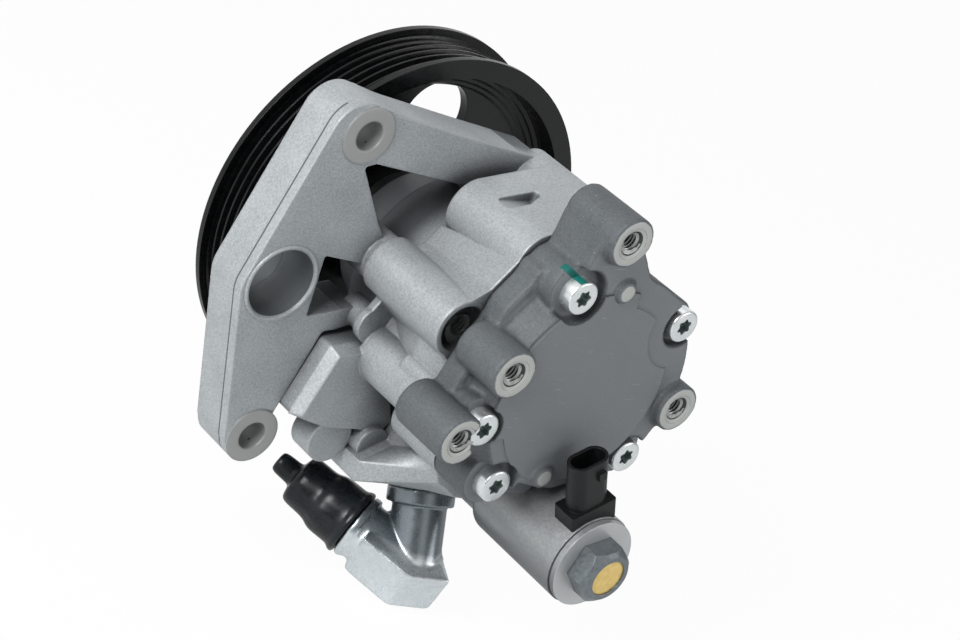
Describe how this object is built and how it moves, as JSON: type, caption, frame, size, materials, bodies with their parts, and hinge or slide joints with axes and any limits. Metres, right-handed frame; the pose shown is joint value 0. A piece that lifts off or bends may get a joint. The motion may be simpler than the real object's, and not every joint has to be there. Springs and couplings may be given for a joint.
{
  "type": "power steering pump",
  "caption": "Vane pump with a grooved belt pulley, cast bracket with two bolt holes, bolted rear cover with threaded bosses, solenoid valve and an elbow outlet.",
  "frame": {"origin": "on the shaft's axis, in the middle of the belt grooves", "axes": "+Y along the shaft towards the pulley, +Z parallel to the line from the bracket's lower to its upper bolt hole, +X away from the bracket"},
  "size_m": [0.1661, 0.1502, 0.1785],
  "materials": {
    "housing_cast": "as-cast, fine grain",
    "cover_cast": "as-cast, darker, fine grain",
    "pulley_black": "satin black coating",
    "hub_steel": "turned",
    "zinc_screw": "bright zinc plate",
    "ground_steel": "ground",
    "bearing_steel": "polished",
    "brass_part": "turned brass",
    "spring_steel": "dark spring steel",
    "seal_rubber": "matte",
    "sintered_iron": "fine matte",
    "can_steel": "satin plated",
    "nut_steel": "grey-blue plate",
    "copper_coil": "enamelled wire",
    "connector_plastic": "fine matte black",
    "pin_tin": "tin plate",
    "zinc_fitting": "bright zinc plate",
    "cap_rubber": "smooth black"
  },
  "bodies": {
    "pump_body": {"front_housing": "housing_cast", "rear_cover": "cover_cast", "bearing_outer_ring": "bearing_steel", "bearing_circlip": "spring_steel", "shaft_seal": "seal_rubber", "cam_ring": "ground_steel", "front_pressure_plate": "sintered_iron", "rear_pressure_plate": "sintered_iron", "dowel_pins": "ground_steel", "cover_o_ring": "seal_rubber", "cover_bolts": "zinc_screw", "rear_bush": "brass_part", "spool_spring": "spring_steel", "solenoid_can": "can_steel", "solenoid_coil": "copper_coil", "solenoid_core": "can_steel", "end_disc": "can_steel", "solenoid_nut": "nut_steel", "tuning_plug": "brass_part", "connector": "connector_plastic", "connector_pins": "pin_tin", "elbow_fitting": "zinc_fitting", "elbow_o_ring": "seal_rubber", "port_cap": "cap_rubber"},
    "rotating_group": {"pulley": "pulley_black", "pulley_hub": "hub_steel", "pulley_screws": "zinc_screw", "drive_shaft": "ground_steel", "bearing_inner_ring": "bearing_steel", "rotor": "ground_steel", "vane_01": "ground_steel", "vane_02": "ground_steel", "vane_03": "ground_steel", "vane_04": "ground_steel", "vane_05": "ground_steel", "vane_06": "ground_steel", "vane_07": "ground_steel", "vane_08": "ground_steel", "vane_09": "ground_steel", "vane_10": "ground_steel"},
    "ball_cage": {"bearing_balls": "bearing_steel", "bearing_cage": "brass_part"},
    "spool": {"flow_spool": "ground_steel"},
    "solenoid_armature": {"armature": "can_steel"}
  },
  "joints": [
    {"name": "pulley_spin", "type": "hinge", "parent": "pump_body", "child": "rotating_group", "pos_m": [0, 0, 0], "axis": [0, 1, 0], "continuous": true},
    {"name": "cage_spin", "type": "hinge", "parent": "pump_body", "child": "ball_cage", "pos_m": [0, -0.018, 0], "axis": [0, 1, 0], "continuous": true},
    {"name": "spool_slide", "type": "slide", "parent": "pump_body", "child": "spool", "axis": [0, 1, 0], "range_m": [0, 0.004], "stiffness_N_per_m": 800, "springref_m": -0.004, "deforming": ["spool_spring"]},
    {"name": "armature_slide", "type": "slide", "parent": "pump_body", "child": "solenoid_armature", "axis": [0, 1, 0], "range_m": [0, 0.0015]}
  ],
  "couplings": [
    {"joint": "cage_spin", "follows": "pulley_spin", "ratio": 0.3842}
  ]
}
